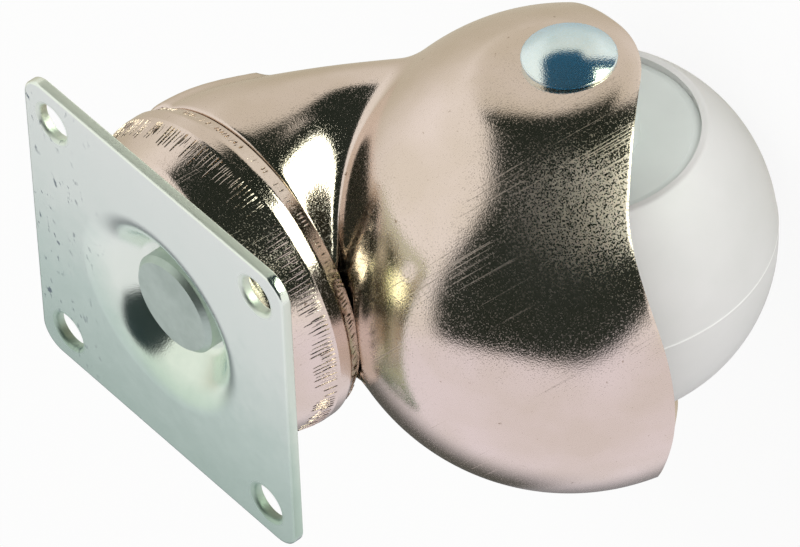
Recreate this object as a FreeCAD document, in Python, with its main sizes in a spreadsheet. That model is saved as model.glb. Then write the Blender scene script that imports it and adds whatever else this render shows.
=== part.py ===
# Ball caster with a top plate: a hooded ball wheel that trails behind a double ball race swivel.
# Millimetres. The origin is the middle of the plate's top face, on the swivel axis, with +Z up.
import FreeCAD, Part
import math
import os
import re
import Sketcher

SIZES = (
    # mounting plate
    ("plate_width", 42.0),
    ("plate_thickness", 1.25),
    ("plate_corner_radius", 3.0),
    ("screw_spacing", 33.0),
    ("screw_hole_radius", 2.25),
    ("screw_hole_rounding", 0.4),
    ("dish_mouth_radius", 10.6),
    ("dish_floor_radius", 6.9),
    ("dish_depth", 4.0),
    ("dish_mouth_bend", 5.0),
    ("dish_floor_bend", 1.5),
    # king pin
    ("pin_radius", 4.0),
    ("pin_head_radius", 6.0),
    ("pin_head_height", 2.4),
    ("pin_head_chamfer", 0.6),
    ("pin_set_radius", 6.2),
    ("pin_set_height", 1.6),
    ("pin_set_rounding", 1.0),
    ("pin_clearance", 0.05),
    # swivel cup
    ("cup_sheet", 1.0),
    ("cup_plate_gap", 0.3),
    ("cup_dish_play", 0.6),
    ("cup_bend_radius", 1.0),
    ("cup_shoulder_radius", 3.0),
    ("cup_wall_draft", 13.0),
    ("cup_ridge_drop", 3.65),
    ("cup_ridge_rounding", 0.4),
    ("cup_band", 1.5),
    ("cup_turn_in", 0.95),
    ("cup_turn_depth", 2.05),
    ("cup_turn_rounding", 1.0),
    # ball races
    ("ball_radius", 2.25),
    ("ball_play", 0.1),
    ("ball_spacing", 0.3),
    ("ball_dish_gap", 1.675),
    ("lower_pitch_radius", 10.2),
    ("race_groove_depth", 1.2),
    ("race_lip", 0.25),
    ("race_cup_gap", 0.5),
    ("race_flange", 2.0),
    ("race_bore_play", 0.6),
    ("race_spigot_radius", 7.0),
    ("race_fit", 0.03),
    ("lower_race_land", 1.75),
    ("lower_race_thickness", 2.7),
    # horn and hood, one pressing
    ("hood_sheet", 1.1),
    ("swivel_gap", 0.3),
    ("swivel_radial_gap", 0.35),
    ("neck_radius", 17.4),
    ("neck_length", 4.1),
    ("neck_flare", 0.3),
    ("lap_height", 0.6),
    ("lap_half_width", 14.0),
    ("lap_reach", 6.5),
    ("hood_radius", 26.0),
    ("hood_rise", 3.1),
    ("hood_lead", 0.1),
    ("ear_flat_depth", 1.0),
    ("ear_shoulder_radius", 6.0),
    ("crease_radius", 1.2),
    ("rim_rear_slope", 9.0),
    ("rim_ear_lead", 3.8),
    ("rim_ear_drop", 7.3),
    ("rim_ear_radius", 15.0),
    ("rim_front_lead", 19.6),
    ("rim_front_rise", 10.5),
    ("rim_front_radius", 10.0),
    # wheel and axle
    ("trail", 24.0),
    ("wheel_drop", 39.75),
    ("wheel_radius", 20.0),
    ("wheel_half_width", 14.5),
    ("tyre_edge_rounding", 0.6),
    ("tyre_side_wall", 0.775),
    ("disc_recess", 0.5),
    ("disc_bevel_width", 1.0),
    ("disc_bevel_drop", 0.4),
    ("core_rib_radius", 15.0),
    ("core_rib_half_width", 4.0),
    ("hub_radius", 6.5),
    ("hub_draft", 0.6),
    ("hub_end_play", 0.2),
    ("axle_radius", 3.0),
    ("axle_head_radius", 5.2),
    ("axle_head_height", 1.9),
    ("axle_head_land", 0.35),
    ("axle_fit", 0.05),
    ("sleeve_wall", 1.0),
    ("sleeve_fit", 0.06),
    ("sleeve_end_play", 0.1),
    ("washer_radius", 5.2),
    ("washer_thickness", 0.9),
    ("washer_seat_play", 0.1),
    # how far the horn is turned on the swivel at rest, in degrees
    ("swivel_angle", 6.4),
)

# The horn's round sections between the neck and the hood: how far down, how far back and how much wider,
# each as a share of the way from the neck's end to the middle of the hood. The last one lies inside the hood.
HORN_SECTIONS = (
    (0.33, 0.13, -0.02),
    (0.69, 0.465, 0.21),
    (1.00, 0.79, 0.42),
    (1.45, 1.00, 0.30),
)

# Levels along the swivel axis, from the plate's top face down.
FLOOR_Z = "(-dish_depth)"
CUP_FLOOR_Z = f"({FLOOR_Z} - plate_thickness)"
CUP_CROWN_Z = "(-plate_thickness - cup_plate_gap)"
CUP_RIDGE_Z = f"({CUP_FLOOR_Z} - cup_ridge_drop)"
CUP_TURN_Z = f"({CUP_RIDGE_Z} - cup_band)"
CUP_RIM_Z = f"({CUP_TURN_Z} - cup_turn_depth)"
UPPER_BALL_Z = f"({CUP_CROWN_Z} - cup_sheet - ball_play - ball_radius)"
RACE_TOP_Z = f"({UPPER_BALL_Z} - ball_radius - ball_play + race_groove_depth)"
HORN_TOP_Z = f"({CUP_RIM_Z} - swivel_gap)"
HORN_UNDER_Z = f"({HORN_TOP_Z} - hood_sheet)"
NECK_END_Z = f"({HORN_TOP_Z} - neck_length)"
LOWER_BALL_Z = f"({HORN_UNDER_Z} - ball_play - ball_radius)"
LOWER_RACE_TOP_Z = f"({LOWER_BALL_Z} - ball_radius - ball_play + race_groove_depth)"
LOWER_RACE_UNDER_Z = f"({LOWER_RACE_TOP_Z} - lower_race_thickness)"
PIN_END_Z = f"({LOWER_RACE_UNDER_Z} - pin_set_height)"
HOOD_X = "(trail + hood_lead)"
HOOD_Z = "(hood_rise - wheel_drop)"

# Radii and widths that fitting pieces share.
UNDER_MOUTH = "(dish_mouth_radius + plate_thickness / 2)"
UNDER_FLOOR = "(dish_floor_radius + plate_thickness / 2)"
CUP_DISH_MOUTH = f"({UNDER_MOUTH} + cup_dish_play)"
CUP_DISH_FLOOR = f"({UNDER_FLOOR} + cup_dish_play)"
UPPER_PITCH = f"({CUP_DISH_MOUTH} + cup_sheet / 2 + ball_dish_gap)"
RACE_RADIUS = f"({UPPER_PITCH} + ball_radius + race_lip)"
RACE_INNER = f"({UPPER_PITCH} - ball_radius - race_lip)"
CUP_RIM = f"({RACE_RADIUS} + race_cup_gap + cup_sheet)"
CUP_RADIUS = f"({CUP_RIM} + cup_turn_in)"
LOWER_RACE_RADIUS = "(lower_pitch_radius + ball_radius + lower_race_land)"
PIN_HOLE = "(pin_radius + pin_clearance)"
RACE_BORE = "(pin_radius + race_bore_play)"
GROOVE_RADIUS = "(ball_radius + ball_play)"
EAR = "(hood_radius - ear_flat_depth)"
EAR_INNER = f"({EAR} - hood_sheet)"
WASHER_SEAT = "(sqrt((hood_radius - hood_sheet) ^ 2 - (hood_rise + washer_radius) ^ 2) - washer_seat_play)"
AXLE_HOLE = "(axle_radius + axle_fit)"
SLEEVE_RADIUS = f"({AXLE_HOLE} + sleeve_wall)"
SLEEVE_BORE = f"({SLEEVE_RADIUS} + sleeve_fit)"
SLEEVE_END = f"({EAR_INNER} - sleeve_end_play)"
HUB_END = f"({WASHER_SEAT} - washer_thickness - hub_end_play)"
DISC_FACE = "(wheel_half_width - disc_recess)"
TYRE_SIDE = "sqrt(wheel_radius ^ 2 - wheel_half_width ^ 2)"
DISC_RADIUS = f"({TYRE_SIDE} - tyre_side_wall)"
NEAR = 1e-4

doc = FreeCAD.newDocument("ball_caster")
sheet = doc.addObject("Spreadsheet::Sheet", "Sheet")
for row, (alias, size) in enumerate(SIZES, start=1):
    sheet.set(f"A{row}", alias)
    sheet.set(f"B{row}", str(size))
    sheet.setAlias(f"B{row}", alias)
doc.recompute()
ALIASES = {alias for alias, size in SIZES}


def bound(text):
    """The expression for a size written with the sheet's own words."""
    return re.sub(r"[a-z_]+", lambda word: f"Sheet.{word[0]}" if word[0] in ALIASES else word[0], str(text))


def number(text):
    """The value that such a size has now."""
    return float(sheet.evalExpression(bound(text)))


def bind(thing, **sizes):
    """Tie an object's properties to the sheet."""
    for name, text in sizes.items():
        thing.setExpression(name, bound(text))


def place(thing, x="0", y="0", z="0"):
    """Tie an object's place to the sheet."""
    for axis, text in (("x", x), ("y", y), ("z", z)):
        thing.setExpression(f"Placement.Base.{axis}", bound(text))


def swivelled(thing, x="0", z="0"):
    """Put a piece of the swivelling half in place, x back along the trail, turned with the horn."""
    place(thing, f"{x} * cos(swivel_angle)", f"{x} * sin(swivel_angle)", z)
    thing.setExpression("Placement.Rotation.Angle", bound("swivel_angle"))


def labelled(kind, name):
    thing = doc.addObject(kind, name)
    thing.Label = name
    return thing


def sketch_on(body, role, name):
    """A sketch on one of the body's own origin planes."""
    plane = next(item for item in body.Origin.OriginFeatures if item.Role == role)
    sketch = body.newObject("Sketcher::SketchObject", name)
    sketch.AttachmentSupport = (plane, [""])
    sketch.MapMode = "FlatFace"
    return sketch


def fix_point(sketch, curve, end, x, y):
    """Hold one point of a sketch at sizes from the sheet."""
    for kind, text in (("DistanceX", x), ("DistanceY", y)):
        made = sketch.addConstraint(Sketcher.Constraint(kind, -1, 1, curve, end, number(text)))
        sketch.setExpression(f"Constraints[{made}]", bound(text))


def arc_between(start, end, radius):
    """The shorter arc from start to end that bulges to the right of the way there."""
    chord = end - start
    middle = (start + end) * 0.5
    left = FreeCAD.Vector(-chord.y, chord.x, 0).normalize()
    centre = middle + left * math.sqrt(radius**2 - (chord.Length / 2) ** 2)
    first = math.atan2(start.y - centre.y, start.x - centre.x)
    last = math.atan2(end.y - centre.y, end.x - centre.x)
    return Part.ArcOfCircle(Part.Circle(centre, FreeCAD.Vector(0, 0, 1), radius), first, last)


def outline(sketch, points):
    """Draw a closed outline. A point with a third entry starts an arc of that radius, and the others a line."""
    places = [FreeCAD.Vector(number(point[0]), number(point[1]), 0) for point in points]
    for index, point in enumerate(points):
        start, end = places[index], places[(index + 1) % len(places)]
        side = arc_between(start, end, number(point[2])) if len(point) == 3 else Part.LineSegment(start, end)
        sketch.addGeometry(side)
    for index, point in enumerate(points):
        following = (index + 1) % len(points)
        sketch.addConstraint(Sketcher.Constraint("Coincident", index, 2, following, 1))
        fix_point(sketch, index, 1, point[0], point[1])
        if len(point) == 3:
            made = sketch.addConstraint(Sketcher.Constraint("Radius", index, number(point[2])))
            sketch.setExpression(f"Constraints[{made}]", bound(point[2]))


def round_hole(sketch, x, y, radius):
    """Add a circle to a sketch."""
    centre = FreeCAD.Vector(number(x), number(y), 0)
    curve = sketch.addGeometry(Part.Circle(centre, FreeCAD.Vector(0, 0, 1), number(radius)))
    fix_point(sketch, curve, 3, x, y)
    made = sketch.addConstraint(Sketcher.Constraint("Radius", curve, number(radius)))
    sketch.setExpression(f"Constraints[{made}]", bound(radius))


def feature(body, kind, profile, **sizes):
    """Add a feature made from a sketch, with its sizes tied to the sheet."""
    made = body.newObject(f"PartDesign::{kind}", f"{body.Name}_{kind.lower()}")
    made.Profile = profile
    if kind in ("Revolution", "Groove"):
        made.ReferenceAxis = (profile, ["V_Axis"])
        made.Angle = 360
    bind(made, **sizes)
    return made


def turned(name, points, role="XZ_Plane"):
    """A body turned about the upright axis of its sketch."""
    body = labelled("PartDesign::Body", name)
    sketch = sketch_on(body, role, f"{name}_profile")
    outline(sketch, points)
    feature(body, "Revolution", sketch)
    doc.recompute()
    return body


def is_ring(edge, radius, level, axis="z"):
    """Whether an edge is a full circle of that radius at that level along an axis."""
    if edge.Degenerated or not isinstance(edge.Curve, Part.Circle):
        return False
    return (abs(edge.Curve.Radius - number(radius)) < NEAR
            and abs(getattr(edge.Curve.Center, axis) - number(level)) < NEAR)


def rounded(body, radius, chosen):
    """Round the edges of a body that a test picks."""
    doc.recompute()
    tip = body.Tip
    names = [f"Edge{index}" for index, edge in enumerate(tip.Shape.Edges, start=1) if chosen(edge)]
    made = body.newObject("PartDesign::Fillet", f"{body.Name}_fillet")
    made.Base = (tip, names)
    bind(made, Radius=radius)
    doc.recompute()


def rounded_rings(body, radius, *rings, axis="z"):
    """Round circles of a body, each given by its radius and its level."""
    rounded(body, radius, lambda edge: any(is_ring(edge, ring, level, axis) for ring, level in rings))


def boolean(kind, name, base, tool):
    made = labelled(f"Part::{kind}", name)
    made.Base = base
    made.Tool = tool
    doc.recompute()
    return made


def edge_fillet(name, base, radius, chosen):
    """Round the edges of a shape that a test picks."""
    made = labelled("Part::Fillet", name)
    made.Base = base
    made.Edges = [
        (index, number(radius), number(radius))
        for index, edge in enumerate(base.Shape.Edges, start=1) if chosen(edge)
    ]
    doc.recompute()
    return made


def mounting_plate():
    """A pressed square plate with four screw holes and a dish that takes the king pin's head."""
    body = labelled("PartDesign::Body", "mounting_plate")
    half = "plate_width / 2"
    square = sketch_on(body, "XY_Plane", "plate_square")
    outline(square, [(half, f"-{half}"), (half, half), (f"-{half}", half), (f"-{half}", f"-{half}")])
    pad = feature(body, "Pad", square, Length="plate_thickness")
    pad.Reversed = True
    doc.recompute()
    rounded(body, "plate_corner_radius", lambda edge: abs(edge.tangentAt(edge.FirstParameter).z) > 1 - NEAR)

    boss = sketch_on(body, "XZ_Plane", "dish_underside")
    outline(boss, [("0", CUP_FLOOR_Z), (UNDER_FLOOR, CUP_FLOOR_Z),
                   (UNDER_MOUTH, "-plate_thickness"), ("0", "-plate_thickness")])
    feature(body, "Revolution", boss)
    doc.recompute()
    hollow = sketch_on(body, "XZ_Plane", "dish_hollow")
    outline(hollow, [("0", FLOOR_Z), ("dish_floor_radius", FLOOR_Z), ("dish_mouth_radius", "0"), ("0", "0")])
    feature(body, "Groove", hollow)
    doc.recompute()

    holes = sketch_on(body, "XY_Plane", "plate_holes")
    round_hole(holes, "0", "0", PIN_HOLE)
    for across in ("screw_spacing / 2", "-screw_spacing / 2"):
        for along in ("screw_spacing / 2", "-screw_spacing / 2"):
            round_hole(holes, across, along, "screw_hole_radius")
    pocket = feature(body, "Pocket", holes)
    pocket.Type = "ThroughAll"
    rounded_rings(body, "dish_mouth_bend", ("dish_mouth_radius", "0"))
    rounded_rings(body, "dish_mouth_bend - plate_thickness", (UNDER_MOUTH, "-plate_thickness"))
    rounded_rings(body, "dish_floor_bend", ("dish_floor_radius", FLOOR_Z), (UNDER_FLOOR, CUP_FLOOR_Z))
    rounded_rings(body, "screw_hole_rounding", ("screw_hole_radius", "0"))
    return body


def king_pin():
    """A rivet with a flat, chamfered head in the plate's dish and a set head under the lower race."""
    head_top = f"({FLOOR_Z} + pin_head_height)"
    body = turned("king_pin", [
        ("0", PIN_END_Z), ("pin_set_radius", PIN_END_Z), ("pin_set_radius", LOWER_RACE_UNDER_Z),
        ("pin_radius", LOWER_RACE_UNDER_Z), ("pin_radius", FLOOR_Z), ("pin_head_radius", FLOOR_Z),
        ("pin_head_radius", f"{head_top} - pin_head_chamfer"),
        ("pin_head_radius - pin_head_chamfer", head_top), ("0", head_top)])
    rounded_rings(body, "pin_set_rounding", ("pin_set_radius", PIN_END_Z))
    return body


def cup_side(sheet):
    """The cup's outline on one side of its sheet, from the rim up over the shoulder and down into the dish."""
    crown = f"({CUP_RADIUS} - ({CUP_CROWN_Z} - {CUP_RIDGE_Z}) * tan(cup_wall_draft))"
    return [
        (f"{CUP_RIM} - {sheet}", CUP_RIM_Z), (f"{CUP_RADIUS} - {sheet}", CUP_TURN_Z),
        (f"{CUP_RADIUS} - {sheet}", CUP_RIDGE_Z), (f"{crown} - {sheet}", f"{CUP_CROWN_Z} - {sheet}"),
        (f"{CUP_DISH_MOUTH} + {sheet} / 2", f"{CUP_CROWN_Z} - {sheet}"),
        (f"{CUP_DISH_FLOOR} + {sheet} / 2", f"{CUP_FLOOR_Z} - {sheet}")]


def swivel_cup():
    """A drawn cup over the bearing: a dish that nests under the plate's, a round shoulder, a wall that widens
    to a ridge, and a band below it that is rolled in towards the horn's neck."""
    outside, inside = cup_side("0"), cup_side("cup_sheet")
    body = turned("swivel_cup", [(PIN_HOLE, CUP_RIM_Z), *outside, (PIN_HOLE, CUP_FLOOR_Z)])
    hollow = sketch_on(body, "XZ_Plane", "cup_hollow")
    outline(hollow, [("0", CUP_RIM_Z), *inside, ("0", f"{CUP_FLOOR_Z} - cup_sheet")])
    feature(body, "Groove", hollow)
    rounded_rings(body, "cup_shoulder_radius", outside[3])
    rounded_rings(body, "cup_shoulder_radius - cup_sheet", inside[3])
    rounded_rings(body, "cup_bend_radius", outside[4], inside[4])
    rounded_rings(body, "cup_ridge_rounding", outside[2])
    rounded_rings(body, "cup_turn_rounding", outside[1])
    return body


def grooved(body, pitch, level):
    """Cut a ball groove into a race."""
    sketch = sketch_on(body, "XZ_Plane", f"{body.Name}_groove_profile")
    round_hole(sketch, pitch, level, GROOVE_RADIUS)
    feature(body, "Groove", sketch)
    doc.recompute()
    return body


def swivel_race():
    """The ring that the horn carries on its neck, centred by a spigot in the horn's hole."""
    spigot = "(race_spigot_radius - race_fit)"
    flange = f"({HORN_TOP_Z} + race_flange)"
    body = turned("swivel_race", [
        (RACE_BORE, HORN_UNDER_Z), (spigot, HORN_UNDER_Z), (spigot, HORN_TOP_Z), (RACE_RADIUS, HORN_TOP_Z),
        (RACE_RADIUS, RACE_TOP_Z), (RACE_INNER, RACE_TOP_Z), (RACE_INNER, flange), (RACE_BORE, flange)])
    return grooved(body, UPPER_PITCH, UPPER_BALL_Z)


def lower_race_washer():
    """The grooved washer that the king pin's set head holds up against the lower balls."""
    body = turned("lower_race_washer", [
        (PIN_HOLE, LOWER_RACE_UNDER_Z), (LOWER_RACE_RADIUS, LOWER_RACE_UNDER_Z),
        (LOWER_RACE_RADIUS, LOWER_RACE_TOP_Z), (PIN_HOLE, LOWER_RACE_TOP_Z)])
    return grooved(body, "lower_pitch_radius", LOWER_BALL_Z)


def bearing_balls(name, pitch, level):
    """A ring of loose steel balls, as many as fit round the race."""
    count = math.floor(2 * math.pi * number(pitch) / number("2 * ball_radius + ball_spacing"))
    balls = []
    for index in range(count):
        ball = doc.addObject("Part::Sphere", f"{name}_{index + 1}")
        bind(ball, Radius="ball_radius")
        turn = f"({index} * 360 deg / {count})"
        place(ball, f"{pitch} * cos({turn})", f"{pitch} * sin({turn})", level)
        balls.append(ball)
    ring = labelled("Part::Compound", name)
    ring.Links = balls
    doc.recompute()
    return ring


def horn_section(name, x, z, radius):
    circle = doc.addObject("Part::Circle", name)
    bind(circle, Radius=radius)
    place(circle, x, "0", z)
    return circle


def horn_form(side, inset):
    """The horn's leaning round form, from above the neck into the hood."""
    flare = "(neck_radius + neck_flare)"
    sections = [
        horn_section(f"{side}_neck_top", "0", f"{HORN_TOP_Z} + 2 * neck_length", f"neck_radius - {inset}"),
        horn_section(f"{side}_neck_end", "0", NECK_END_Z, f"{flare} - {inset}"),
    ]
    for index, (down, back, wider) in enumerate(HORN_SECTIONS, start=1):
        sections.append(horn_section(
            f"{side}_horn_{index}", f"{back} * {HOOD_X}", f"{NECK_END_Z} + {down} * ({HOOD_Z} - {NECK_END_Z})",
            f"{flare} + {wider} * (hood_radius - {flare}) - {inset}"))
    loft = labelled("Part::Loft", f"{side}_horn")
    loft.Sections = sections
    loft.Solid = True
    doc.recompute()
    return loft


def is_crease(edge):
    """Whether an edge is the long loop where the horn meets the hood."""
    box = edge.BoundBox
    return not edge.Degenerated and min(-box.YMin, box.YMax, box.ZLength) > number("hood_sheet")


def neck_lap():
    """The thicker lap of sheet down the back of the neck, ending in a blunt step."""
    proud = horn_form("lap", "(-lap_height)")
    slab = labelled("Part::Box", "lap_extent")
    bind(slab, Length="2 * neck_radius", Width="2 * lap_half_width", Height="neck_length + lap_reach")
    place(slab, "-2 * neck_radius", "-lap_half_width", f"{NECK_END_Z} - lap_reach")
    return boolean("Common", "neck_lap", proud, slab)


def hood_form(side, inset):
    """The filled form of the pressing's outside, or of its inside when inset by the sheet."""
    ear = f"({EAR} - {inset})"
    ball = labelled("Part::Sphere", f"{side}_dome")
    bind(ball, Radius=f"hood_radius - {inset}")
    place(ball, HOOD_X, "0", HOOD_Z)
    slab = labelled("Part::Box", f"{side}_ears")
    bind(slab, Length="2 * hood_radius", Width=f"2 * {ear}", Height="2 * hood_radius")
    place(slab, f"{HOOD_X} - hood_radius", f"-{ear}", f"{HOOD_Z} - hood_radius")
    flattened = boolean("Common", f"{side}_flattened", ball, slab)
    shouldered = edge_fillet(f"{side}_shouldered", flattened, f"ear_shoulder_radius - {inset}",
                             lambda edge: not edge.Degenerated and edge.Closed)
    joined = boolean("Fuse", f"{side}_joined", shouldered, horn_form(side, inset))
    creased = edge_fillet(f"{side}_creased", joined, f"crease_radius + {inset}", is_crease)
    seat = labelled("Part::Cylinder", f"{side}_cup_seat")
    bind(seat, Radius=f"{CUP_RADIUS} + swivel_radial_gap + {inset}", Height="wheel_drop")
    place(seat, z=f"{HORN_TOP_Z} - {inset}")
    return boolean("Cut", f"{side}_seated", creased, seat)


def rim_cutter():
    """What is trimmed off the pressing: everything below a rim that rises from the ears to the front."""
    body = labelled("PartDesign::Body", "rim_cutter")
    far = "(2 * hood_radius)"
    ear_x = "(trail + rim_ear_lead)"
    ear_z = "(-wheel_drop - rim_ear_drop)"
    front_x = "(trail + rim_front_lead)"
    front_z = "(-wheel_drop + rim_front_rise)"
    rear_x = f"(trail - {far})"
    below = f"(-wheel_drop - {far})"
    sketch = sketch_on(body, "XZ_Plane", "rim_line")
    outline(sketch, [
        (rear_x, f"{ear_z} - ({ear_x} - {rear_x}) * tan(rim_rear_slope)"), (rear_x, below),
        (f"trail + {far}", below), (f"trail + {far}", front_z), (front_x, front_z), (ear_x, ear_z)])
    pad = feature(body, "Pad", sketch, Length=f"2 * {far}")
    pad.Midplane = True
    for x, radius in ((ear_x, "rim_ear_radius"), (front_x, "rim_front_radius")):
        rounded(body, radius, lambda edge: all(abs(end.X - number(x)) < NEAR for end in edge.Vertexes))
    return body


def hood():
    """Horn and hood in one pressing, with the swivel's hole on top and the axle's holes through its ears."""
    lapped = boolean("Fuse", "outer_lapped", hood_form("outer", "0"), neck_lap())
    shell = boolean("Cut", "hood_shell", lapped, hood_form("inner", "hood_sheet"))
    trimmed = boolean("Cut", "hood_trimmed", shell, rim_cutter())
    race_hole = labelled("Part::Cylinder", "race_hole")
    bind(race_hole, Radius="race_spigot_radius", Height="3 * hood_sheet")
    place(race_hole, z=f"{HORN_UNDER_Z} - hood_sheet")
    pierced = boolean("Cut", "hood_pierced", trimmed, race_hole)
    axle_hole = labelled("Part::Cylinder", "axle_hole")
    bind(axle_hole, Radius=AXLE_HOLE, Height="4 * hood_radius")
    axle_hole.Placement.Rotation = FreeCAD.Rotation(FreeCAD.Vector(1, 0, 0), -90)
    place(axle_hole, "trail", "-2 * hood_radius", "-wheel_drop")
    pressing = boolean("Cut", "hood", pierced, axle_hole)
    swivelled(pressing)
    doc.recompute()
    return pressing


def on_axle(body):
    """Put a body that was turned about its own Y axis on the wheel's axis."""
    swivelled(body, "trail", "-wheel_drop")
    doc.recompute()
    return body


def axle_rivet():
    """The axle: a rivet with a low domed head outside each ear."""
    land = f"({EAR} + axle_head_land)"
    apex = f"({EAR} + axle_head_height)"
    rise = "(axle_head_height - axle_head_land)"
    dome = f"(axle_head_radius ^ 2 + {rise} ^ 2) / (2 * {rise})"
    return on_axle(turned("axle_rivet", [
        ("0", f"-{apex}", dome), ("axle_head_radius", f"-{land}"), ("axle_head_radius", f"-{EAR}"),
        ("axle_radius", f"-{EAR}"), ("axle_radius", EAR),
        ("axle_head_radius", EAR), ("axle_head_radius", land, dome), ("0", apex)], "XY_Plane"))


def ring_on_axle(name, bore, radius, first, last):
    return on_axle(turned(name, [(bore, first), (radius, first), (radius, last), (bore, last)], "XY_Plane"))


def wheel_hub():
    """The wheel's bush, a tube that turns on the sleeve and tapers out to the ears on both sides."""
    tip = "(hub_radius - hub_draft)"
    return on_axle(turned("wheel_hub", [
        (SLEEVE_BORE, f"-{HUB_END}"), (tip, f"-{HUB_END}"), ("hub_radius", f"-{DISC_FACE}"),
        ("hub_radius", DISC_FACE), (tip, HUB_END), (SLEEVE_BORE, HUB_END)], "XY_Plane"))


def wheel_core():
    """The hard disc moulded round the hub, bevelled at its edges, with a rib that keys the tyre."""
    bevel_start = f"({DISC_RADIUS} - disc_bevel_width)"
    bevel_foot = f"({DISC_FACE} - disc_bevel_drop)"
    return on_axle(turned("wheel_core", [
        ("hub_radius", f"-{DISC_FACE}"), (bevel_start, f"-{DISC_FACE}"), (DISC_RADIUS, f"-{bevel_foot}"),
        (DISC_RADIUS, "-core_rib_half_width"), ("core_rib_radius", "-core_rib_half_width"),
        ("core_rib_radius", "core_rib_half_width"), (DISC_RADIUS, "core_rib_half_width"),
        (DISC_RADIUS, bevel_foot), (bevel_start, DISC_FACE), ("hub_radius", DISC_FACE)], "XY_Plane"))


def tyre():
    """The soft ball moulded over the core, cut flat at both sides."""
    body = turned("tyre", [
        (TYRE_SIDE, "-wheel_half_width", "wheel_radius"), (TYRE_SIDE, "wheel_half_width"),
        (DISC_RADIUS, "wheel_half_width"), (DISC_RADIUS, "core_rib_half_width"),
        ("core_rib_radius", "core_rib_half_width"), ("core_rib_radius", "-core_rib_half_width"),
        (DISC_RADIUS, "-core_rib_half_width"), (DISC_RADIUS, "-wheel_half_width")], "XY_Plane")
    rounded_rings(body, "tyre_edge_rounding",
                  (TYRE_SIDE, "wheel_half_width"), (TYRE_SIDE, "-wheel_half_width"), axis="y")
    return on_axle(body)


pieces = [
    mounting_plate(),
    king_pin(),
    swivel_cup(),
    bearing_balls("upper_bearing_balls", UPPER_PITCH, UPPER_BALL_Z),
    swivel_race(),
    bearing_balls("lower_bearing_balls", "lower_pitch_radius", LOWER_BALL_Z),
    lower_race_washer(),
    hood(),
    axle_rivet(),
    ring_on_axle("axle_sleeve", AXLE_HOLE, SLEEVE_RADIUS, f"-{SLEEVE_END}", SLEEVE_END),
    ring_on_axle("left_axle_washer", SLEEVE_BORE, "washer_radius",
                 f"{WASHER_SEAT} - washer_thickness", WASHER_SEAT),
    ring_on_axle("right_axle_washer", SLEEVE_BORE, "washer_radius",
                 f"-{WASHER_SEAT}", f"-{WASHER_SEAT} + washer_thickness"),
    wheel_hub(),
    wheel_core(),
    tyre(),
]
doc.recompute()

for thing in doc.Objects:
    if "Invalid" in thing.State or "Error" in thing.State:
        raise RuntimeError(f"{thing.Label} failed: {thing.State}")
for piece in pieces:
    if piece.Shape.isNull() or not piece.Shape.isValid():
        raise RuntimeError(f"{piece.Label} has no valid shape")

os.makedirs("parts", exist_ok=True)
for piece in pieces:
    piece.Shape.exportStep(f"parts/{piece.Label}.step")
    print(piece.Label, len(piece.Shape.Solids), "solids", round(piece.Shape.Volume, 2), "mm3")
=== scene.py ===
"""Looks of the hooded ball caster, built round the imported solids. Sizes are in mm until a mesh is made."""
import math

import bmesh
import bpy
import numpy as np
from mathutils import Matrix, Vector
from mathutils.geometry import delaunay_2d_cdt


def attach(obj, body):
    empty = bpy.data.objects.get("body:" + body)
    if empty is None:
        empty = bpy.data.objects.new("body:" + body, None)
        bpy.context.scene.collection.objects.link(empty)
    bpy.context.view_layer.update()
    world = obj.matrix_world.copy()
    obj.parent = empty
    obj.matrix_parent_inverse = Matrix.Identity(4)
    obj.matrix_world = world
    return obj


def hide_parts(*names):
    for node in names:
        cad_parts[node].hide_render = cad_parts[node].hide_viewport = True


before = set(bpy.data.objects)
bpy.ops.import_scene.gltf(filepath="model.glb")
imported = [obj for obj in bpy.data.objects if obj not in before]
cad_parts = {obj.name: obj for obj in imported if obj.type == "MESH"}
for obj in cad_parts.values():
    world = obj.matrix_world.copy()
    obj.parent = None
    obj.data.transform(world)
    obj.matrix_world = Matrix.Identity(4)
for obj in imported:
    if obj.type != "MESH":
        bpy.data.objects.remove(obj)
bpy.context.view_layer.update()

MM = 0.001

# Sizes shared with the solids. Levels go down from the plate's top face.
SWIVEL_TURN = math.radians(6.4)
TRAIL, WHEEL_DROP = 24.0, 39.75
PLATE_WIDTH, PLATE_SHEET, PLATE_CORNER = 42.0, 1.25, 3.0
SCREW_SPACING, SCREW_HOLE = 33.0, 2.25
DISH_MOUTH, DISH_FLOOR, DISH_DEPTH, DISH_MOUTH_BEND = 10.6, 6.9, 4.0, 5.0
PIN_HOLE, PIN_RADIUS, PIN_HEAD, PIN_SET = 4.05, 4.0, 6.0, 6.2
PIN_HEAD_TOP, PIN_CHAMFER, PIN_SET_TOP, PIN_END = -1.6, 0.6, -20.05, -21.65
CUP_RADIUS, CUP_RIM_RADIUS, CUP_SHEET, CUP_DRAFT = 18.95, 18.0, 1.0, math.radians(13.0)
CUP_CROWN, CUP_FLOOR, CUP_RIDGE, CUP_TURN, CUP_RIM = -1.55, -5.25, -8.9, -10.4, -12.45
CUP_DISH_MOUTH, CUP_DISH_FLOOR = 11.825, 8.125
CUP_SHOULDER = CUP_RADIUS - (CUP_CROWN - CUP_RIDGE) * math.tan(CUP_DRAFT)
HORN_TOP, NECK_LENGTH, NECK_RADIUS, NECK_FLARE = -12.75, 4.1, 17.4, 17.7
NECK_END = HORN_TOP - NECK_LENGTH
HOOD_MIDDLE, HOOD_RADIUS, HOOD_SHEET = (24.1, 0.0, -36.65), 26.0, 1.1
SEAT_RADIUS, RACE_HOLE = 19.3, 7.0
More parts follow.
